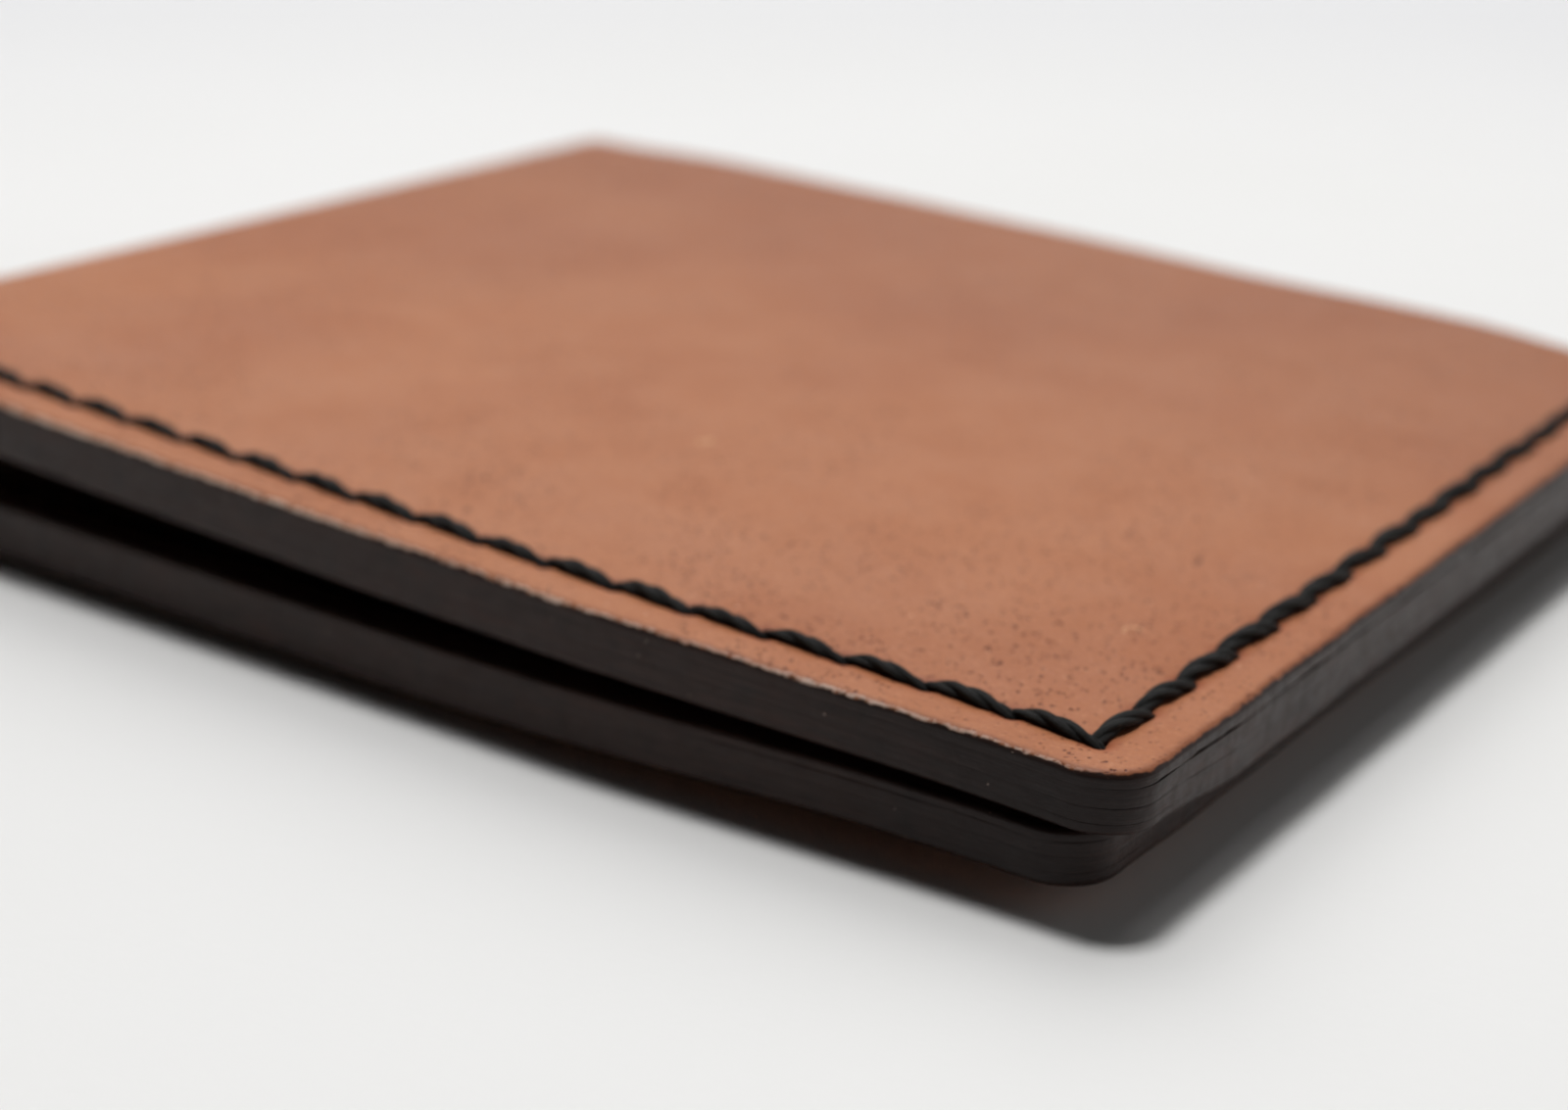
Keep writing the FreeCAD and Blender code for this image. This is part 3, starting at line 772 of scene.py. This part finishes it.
def flesh_side():
    """The soft, fuzzy inner side of the leather."""
    n = Nodes("flesh_side")
    fuzz = n.noise(3.5, 5.0, 0.7, distortion=0.8)
    cloud = n.noise(0.2, 3.0)
    tint = n.mix(n.span(fuzz, 0.3, 0.7), colour(158, 112, 82), colour(188, 142, 108))
    tint = n.mix(n.span(cloud, 0.4, 0.7, 0.0, 0.4), tint, colour(148, 100, 72))
    relief = n.bump(fuzz, 0.12)
    return n.finish(tint, 0.92, relief, Specular_IOR_Level=0.2, Sheen_Weight=0.35)


def waxed_thread():
    """Black waxed thread. Its rest attribute runs along and around each strand."""
    n = Nodes("waxed_thread")
    fibres = n.noise(1.0, 4.0, 0.65, vector=n.stretch(n.rest, (1.2, 9.0, 1.0)))
    tint = n.mix(n.span(fibres, 0.3, 0.7), colour(7, 7, 6), colour(22, 21, 18))
    dust = n.span(n.noise(2.6, 3.0), 0.7, 0.78)
    tint = n.mix(n.math("MULTIPLY", dust, 0.3), tint, colour(140, 132, 120))
    relief = n.bump(fibres, 0.09)
    return n.finish(tint, 0.48, relief, Specular_IOR_Level=0.15)


TAN = tan_leather()
EDGE = burnished_edge()
DARK = dark_leather()
FLESH = flesh_side()
THREAD = waxed_thread()


# ---- Flat layers ---------------------------------------------------------------

CARD_SLOT = (-91.3, -4.9)  # the tray's two sides, along u
SLOT_BOTTOM_Y = SEAM_Y + 1.3
EDGE_WIDTH = 3.5  # how far the edge filler's own mesh points reach from the seam
FILLER_CLEAR = 0.45  # from the filler to the tray
SCOOP_RADIUS = 28.0
SCOOP_LOW_Y = BOTTOM + 46.0


def seam_valley(points, with_fold_side, depth=0.16):
    """How far the seam pulls a face in."""
    gap = seam_distance(points, with_fold_side)
    return depth * np.exp(-((gap / 1.0) ** 2))


def hole_dips(points, holes, depth=0.34):
    return depth * np.exp(-((nearest(points, holes) / 0.5) ** 2))


def cover_puff(half, points):
    """How far the cover swells outwards, clear of its seams."""
    u, y = points[:, 0], points[:, 1]
    from_seams = smooth((-u - 4.2) / 13) * smooth((y - BOTTOM - 4.2) / 13)
    from_fold = smooth((u + half.flat - 1) / 14)
    return from_seams * from_fold


def cover_outer(half, points, holes):
    puff = cover_puff(half, points)
    if half is BACK:
        swell = RISE * puff
    else:
        flat = half.unfolded(np.column_stack([points, np.zeros(len(points))]))
        uneven = 0.10 * waves(flat, 34, 11) + 0.05 * waves(flat, 15, 12)
        swell = puff * (0.62 + uneven)
        for u, y, depth, reach in DENTS:
            gap = np.hypot(points[:, 0] - u, points[:, 1] - y)
            swell -= depth * np.exp(-((gap / reach) ** 2))
    return COVER_OUT + swell - seam_valley(points, False) - hole_dips(points, holes)


def tray_depth(points):
    """1 inside the card tray, 0 on its margins."""
    u, y = points[:, 0], points[:, 1]
    across = smooth((CARD_SLOT[1] + 0.4 - u) / 1.6) * smooth((u - CARD_SLOT[0] + 0.4) / 1.6)
    return across * smooth((y - SLOT_BOTTOM_Y + 0.4) / 1.6)


def cover_distance(half, points):
    """Distance from the seam, and a middling one in the bend, to space out mesh points."""
    in_bend = points[:, 0] < -half.flat + 2
    return np.where(in_bend, 2.0, seam_distance(points, False))


def make_cover_piece(name, half, loop, joins):
    holes = seam_holes(half)
    levels = [(1.3, 0.3), (3.2, 0.65), (200, 1.7)]
    inner = filling(loop, levels, lambda points: cover_distance(half, points))

    def high(points):
        return cover_outer(half, points, holes)

    def low(points):
        return FILLER_OUT + SKIN + 0.8 * RISE * cover_puff(half, points)

    piece = sheet_piece(
        name, half, loop, inner, low, high, (TAN, FLESH, EDGE), holes,
        rim_round=(0.5, FUSED), joins=joins,
    )
    return piece


def bend_blend(piece, half, number):
    """Bake the piece's transform into its mesh. The ends of hinge number's slice of the bend,
    counted from the half, are worked out but not used.
    """
    spots = half.place(np.array([
        [-half.flat - RADIUS * SLICE * turns, 0, FILLER_OUT] for turns in (number, number + 1)
    ]))
    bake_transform(piece)


def make_cover(half):
    """A half's cover, with the slice of the bend beside it."""
    end = -half.flat - RADIUS * SLICE
    loop = outline([
        (end, BOTTOM, 0), (0, BOTTOM, OUTER_CORNER), (0, COVER_TOP, SMALL_CORNER * 2),
        (end, COVER_TOP, 0),
    ])
    piece = make_cover_piece(f"cover_{half.name}", half, loop, (end,))
    bend_blend(piece, half, 0)
    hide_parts(f"cover_{half.name}_panel")


def make_fold_middle():
    """The slices of the bend between the two halves' covers."""
    for number in range(1, SLICES - 1):
        start, end = (-BACK.flat - RADIUS * SLICE * turns for turns in (number, number + 1))
        loop = outline([
            (end, BOTTOM, 0), (start, BOTTOM, 0), (start, COVER_TOP, 0), (end, COVER_TOP, 0),
        ])
        piece = make_cover_piece(f"cover_fold_{number}", BACK, loop, (start, end))
        bend_blend(piece, BACK, number)
        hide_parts(f"cover_spine_{number}", f"cover_spine_{number + 1}")


def mesh_for(piece, half, node):
    """piece rides with its half and is the finished mesh of a CAD node."""
    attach(piece, half.body)
    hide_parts(node)


def make_filler(half):
    left, right = CARD_SLOT[0] - FILLER_CLEAR, CARD_SLOT[1] + FILLER_CLEAR
    foot = SLOT_BOTTOM_Y - FILLER_CLEAR
    loop = outline([
        (-STACK_WIDTH, BOTTOM, SMALL_CORNER), (0, BOTTOM, OUTER_CORNER),
        (0, INNER_TOP, SMALL_CORNER), (right, INNER_TOP, 1.0), (right, foot, 1.0),
        (left, foot, 1.0), (left, INNER_TOP, 1.0), (-STACK_WIDTH, INNER_TOP, 1.0),
    ])
    inner = filling(loop, [(EDGE_WIDTH, 1.3)], lambda points: seam_distance(points, True))
    piece = sheet_piece(
        f"edge_filler_strip_{half.name}", half, loop, inner,
        lambda points: np.full(len(points), PANEL_OUT + SKIN),
        lambda points: np.full(len(points), FILLER_OUT - SKIN),
        (EDGE, EDGE, EDGE), [], rim_round=(FUSED, FUSED),
    )
    mesh_for(piece, half, f"edge_filler_{half.name}")


def make_inner_panel(half):
    loop = outline([
        (-STACK_WIDTH, BOTTOM, SMALL_CORNER), (0, BOTTOM, OUTER_CORNER),
        (0, INNER_TOP, SMALL_CORNER), (-STACK_WIDTH, INNER_TOP, SMALL_CORNER),
    ])
    inner = filling(loop, [(200, 1.3)], lambda points: seam_distance(points, True))
    room = CARD_ROOM - 0.05

    def high(points):
        return PANEL_OUT - SKIN + room * tray_depth(points)

    def low(points):
        return POCKET_OUT + SKIN + room * tray_depth(points)

    piece = sheet_piece(
        f"pocket_wall_{half.name}", half, loop, inner, low, high, (DARK, DARK, EDGE), [],
        rim_round=(FUSED, FUSED),
    )
    mesh_for(piece, half, f"inner_panel_{half.name}")


def make_card_pocket(half):
    middle, radius = sum(CARD_SLOT) / 2, SCOOP_RADIUS
    scoop = [
        (middle + radius * math.cos(a), SCOOP_LOW_Y + radius + radius * math.sin(a), 2.0)
        for a in np.linspace(0, -math.pi, 41)
    ]
    loop = outline([
        (-STACK_WIDTH, BOTTOM, SMALL_CORNER), (0, BOTTOM, OUTER_CORNER),
        (0, INNER_TOP, SMALL_CORNER * 2), (middle + radius, INNER_TOP, 3.0),
        *scoop,
        (middle - radius, INNER_TOP, 3.0), (-STACK_WIDTH, INNER_TOP, SMALL_CORNER),
    ])
    holes = np.vstack([seam_holes(half), fold_side_holes()])
    levels = [(1.2, 0.45), (3.0, 0.9), (200, 2.0)]
    inner = filling(loop, levels, lambda points: seam_distance(points, True))

    def low(points):
        return 0.02 + seam_valley(points, True, 0.3) + hole_dips(points, holes, 0.25)

    def high(points):
        return np.full(len(points), POCKET_OUT - SKIN)

    piece = sheet_piece(
        f"card_pocket_sheet_{half.name}", half, loop, inner, low, high,
        (DARK, DARK, EDGE), holes, rim_round=(FUSED, 0.4),
    )
    mesh_for(piece, half, f"card_pocket_{half.name}")


# ---- Thread --------------------------------------------------------------------

STRANDS = 3
STRAND_SIDES = 9
STITCH_STEPS = 26
SINK = 0.45  # how deep a stitch's ends go into their awl holes


def stitch_strands(length, slant, lift, fat, seed):
    """One stitch's strands around the seam line: (along, sideways, height, radius)."""
    rng = np.random.default_rng(seed)
    t = np.linspace(0, 1, STITCH_STEPS + 1)
    arch = np.sin(math.pi * t)
    swell = arch ** 0.6
    overlap = 0.42 - 0.2 * swell
    centre_along = (t - 0.5) * (length + 2 * overlap) + length / 2
    centre_height = -SINK + (fat * lift * rng.uniform(0.9, 1.1) + SINK) * arch ** 0.45
    centre_side = slant * np.cos(math.pi * t) * rng.uniform(0.8, 1.2)
    centre_side += rng.uniform(-0.05, 0.05) * arch
    size = fat * (0.6 + 0.4 * swell) * rng.uniform(0.88, 1.08)
    turns = rng.uniform(0.75, 1.0)
    phase = rng.uniform(0, 2 * math.pi)
    strands = []
    for k in range(STRANDS):
        angle = phase + 2 * math.pi * (k / STRANDS + turns * t)
        height = centre_height + size * 0.42 * np.sin(angle)
        side = centre_side + size * 0.52 * np.cos(angle)
        strands.append(np.column_stack([centre_along, side, height, size * 0.62]))
    return strands


def tube(spine, radii, sides):
    """Rings of points round a path, without twist, a little wider than high."""
    tangent = np.gradient(spine, axis=0)
    tangent /= np.linalg.norm(tangent, axis=1)[:, None]
    up = np.array([0, 0, 1.0])
    across = np.cross(tangent, up)
    across /= np.linalg.norm(across, axis=1)[:, None]
    over = np.cross(across, tangent)
    turns = np.linspace(0, 2 * math.pi, sides, endpoint=False)
    rings = (
        spine[:, None]
        + radii[:, None, None] * (np.cos(turns)[None, :, None] * across[:, None] * 1.06)
        + radii[:, None, None] * (np.sin(turns)[None, :, None] * over[:, None] * 0.9)
    )
    return rings.reshape(-1, 3), turns


def tube_faces(base, count, sides):
    """Faces of a closed tube of count rings, whose points begin at base."""
    faces = []
    for k in range(count - 1):
        near, far = base + k * sides, base + (k + 1) * sides
        for n in range(sides):
            m = (n + 1) % sides
            faces.append((near + n, near + m, far + m, far + n))
    last = base + (count - 1) * sides
    faces.append(tuple(base + n for n in reversed(range(sides))))
    faces.append(tuple(last + n for n in range(sides)))
    return faces


def make_thread(name, half, runs, node):
    """One seam's thread. runs are (holes, level_of, outward sign, slant, lift, fat)."""
    points, faces, rest = [], [], []
    seed = 100 + 10 * half.sign + len(name)
    stitches = [
        (start, end, *run) for holes, *run in runs for start, end in zip(holes, holes[1:])
    ]
    for start, end, level_of, sign, slant, lift, fat in stitches:
        seed += 1
        length = np.linalg.norm(end - start)
        forward = (end - start) / length
        aside = np.array([-forward[1], forward[0]])
        level = level_of(np.array([(start + end) / 2]))[0]
        for strand in stitch_strands(length, slant, lift, fat, seed):
            along, sideways, height, radius = strand.T
            flat = start + np.outer(along, forward) + np.outer(sideways, aside)
            spine = np.column_stack([flat, level + sign * height])
            rings, turns = tube(spine, radius, STRAND_SIDES)
            faces.extend(tube_faces(len(points), len(spine), STRAND_SIDES))
            points.extend(rings)
            rest.extend(
                (step + seed * 7.0, math.sin(turn / 2) * 1.2, seed)
                for step in along for turn in turns
            )
    if half.sign > 0:
        faces = [face[::-1] for face in faces]
    piece = new_piece(
        name, half.place(np.array(points)), faces, [0] * len(faces), (THREAD,),
        {"rest": np.array(rest)}, 70
    )
    mesh_for(piece, half, node)


def make_threads(half):
    holes = seam_holes(half)
    bottom, side = holes[:BOTTOM_STITCHES + 1], holes[BOTTOM_STITCHES:]

    def cover_face(points):
        return COVER_OUT - seam_valley(points, False)

    def inner_face(points):
        return seam_valley(points, True, 0.3)

    # The table has pressed the back half's outer stitches flatter.
    lift, slim = (0.8, 1.0) if half is FRONT else (0.2, 0.78)
    inner = (-1, 0.08, 0.8, 0.26)
    make_thread(f"edge_seam_{half.name}", half, [
        (bottom, cover_face, 1, 0.18, lift, 0.46 * slim),
        (side, cover_face, 1, 0.32, lift, 0.5 * slim),
        (bottom, inner_face, *inner),
        (side, inner_face, *inner),
    ], f"edge_thread_{half.name}")
    fold_holes = fold_side_holes()
    make_thread(
        f"pocket_seam_{half.name}", half, [(fold_holes, inner_face, *inner)],
        f"pocket_thread_{half.name}",
    )


for half in (BACK, FRONT):
    make_cover(half)
    make_filler(half)
    make_inner_panel(half)
    make_card_pocket(half)
    make_threads(half)
make_fold_middle()


# ---- Stage, light and camera ---------------------------------------------------

BACKDROP = (0.80, 0.80, 0.79, 1.0)


def make_floor():
    """A pale table top, darkened by painted shade away from the part, which fades into the backdrop
    far behind the part.
    """
    reach = 3.0
    mesh = bpy.data.meshes.new("table")
    corners = [(-reach, -reach, 0), (reach, -reach, 0), (reach, reach, 0), (-reach, reach, 0)]
    mesh.from_pydata(corners, [], [(0, 1, 2, 3)])
    table = bpy.data.objects.new("table", mesh)
    bpy.context.scene.collection.objects.link(table)
    n = Nodes("pale_table")
    place = n.node("ShaderNodeTexCoord").outputs["Object"]
    away = n.length(place)
    soft = n.noise(9.0, 3.0, vector=place)
    tint = n.mix(n.span(soft, 0.3, 0.7), (0.80, 0.795, 0.78, 1), (0.82, 0.815, 0.805, 1))
    # Painted shade: the table turns darker and greyer away from the part.
    tint = n.mix(n.span(away, 0.09, 0.32), tint, (0.71, 0.71, 0.72, 1))
    paper = n.noise(900.0, 3.0, vector=place)
    n.finish(tint, 0.6, n.bump(paper, 0.02), Specular_IOR_Level=0.2)
    seen = n.node("ShaderNodeLightPath").outputs["Is Camera Ray"]
    glow = n.node("ShaderNodeEmission")
    glow.inputs["Color"].default_value = BACKDROP
    far = n.node("ShaderNodeMixShader")
    n.link(n.math("MULTIPLY", n.span(away, 0.34, 0.9), seen), far.inputs["Fac"])
    n.link(n.shader.outputs["BSDF"], far.inputs[1])
    n.link(glow.outputs[0], far.inputs[2])
    n.link(far.outputs[0], n.tree.nodes["Material Output"].inputs["Surface"])
    mesh.materials.append(n.material)


def area_light(name, spot, size, power):
    """A soft white light that faces the part."""
    light = bpy.data.lights.new(name, "AREA")
    light.shape = "RECTANGLE"
    light.size, light.size_y = size
    light.energy = power
    lamp = bpy.data.objects.new(name, light)
    lamp.location = spot
    lamp.rotation_mode = "QUATERNION"
    lamp.rotation_quaternion = (-Vector(spot)).to_track_quat("-Z", "Y")
    bpy.context.scene.collection.objects.link(lamp)


def make_lights():
    """A lamp almost overhead, a broad window behind to the left, and a dim room.

    The camera sees a pale backdrop, which doesn't light the part.
    """
    world = bpy.data.worlds.new("dim_room")
    world.use_nodes = True
    tree = world.node_tree
    background = tree.nodes["Background"]
    background.inputs["Strength"].default_value = 0.016
    background.inputs["Color"].default_value = (1.0, 1.0, 1.0, 1.0)
    backdrop = tree.nodes.new("ShaderNodeBackground")
    backdrop.inputs["Color"].default_value = BACKDROP
    seen = tree.nodes.new("ShaderNodeLightPath").outputs["Is Camera Ray"]
    choice = tree.nodes.new("ShaderNodeMixShader")
    tree.links.new(seen, choice.inputs["Fac"])
    tree.links.new(background.outputs[0], choice.inputs[1])
    tree.links.new(backdrop.outputs[0], choice.inputs[2])
    tree.links.new(choice.outputs[0], tree.nodes["World Output"].inputs["Surface"])
    bpy.context.scene.world = world
    area_light("lamp", (-0.40, 0.33, 2.5), (0.44, 0.44), 39.0)
    area_light("window", (-1.15, 1.45, 2.1), (3.0, 2.6), 58.0)
    area_light("bounce", (1.1, 1.55, 0.45), (2.0, 0.8), 7.5)


def make_camera():
    """A close view of the front half's corner, where the two seams meet."""
    corner = FRONT.origin + FRONT.outwards * COVER_OUT + np.array([0, BOTTOM, 0])
    from_corner = np.array([46.78, -93.5, 51.27])
    azimuth, elevation, roll = math.radians(35.37), math.radians(20.91), math.radians(1.10)
    camera = bpy.data.cameras.new("camera")
    camera.sensor_width = 36.0
    camera.lens = 56.29
    camera.clip_start = 0.005
    camera.clip_end = 20.0
    holder = bpy.data.objects.new("camera", camera)
    away = Vector((
        -math.sin(azimuth) * math.cos(elevation), math.cos(azimuth) * math.cos(elevation),
        -math.sin(elevation),
    ))
    holder.rotation_mode = "QUATERNION"
    holder.rotation_quaternion = away.to_track_quat("-Z", "Y")
    holder.rotation_quaternion @= Matrix.Rotation(roll, 4, "Z").to_quaternion()
    holder.location = (corner + from_corner) * MM
    focus = bpy.data.objects.new("focus", None)
    focus.location = corner * MM
    for item in (holder, focus):
        bpy.context.scene.collection.objects.link(item)
    camera.dof.use_dof = True
    camera.dof.focus_object = focus
    camera.dof.aperture_fstop = 22.0
    bpy.context.scene.camera = holder


make_floor()
make_lights()
make_camera()
bpy.context.scene.view_settings.view_transform = "Standard"
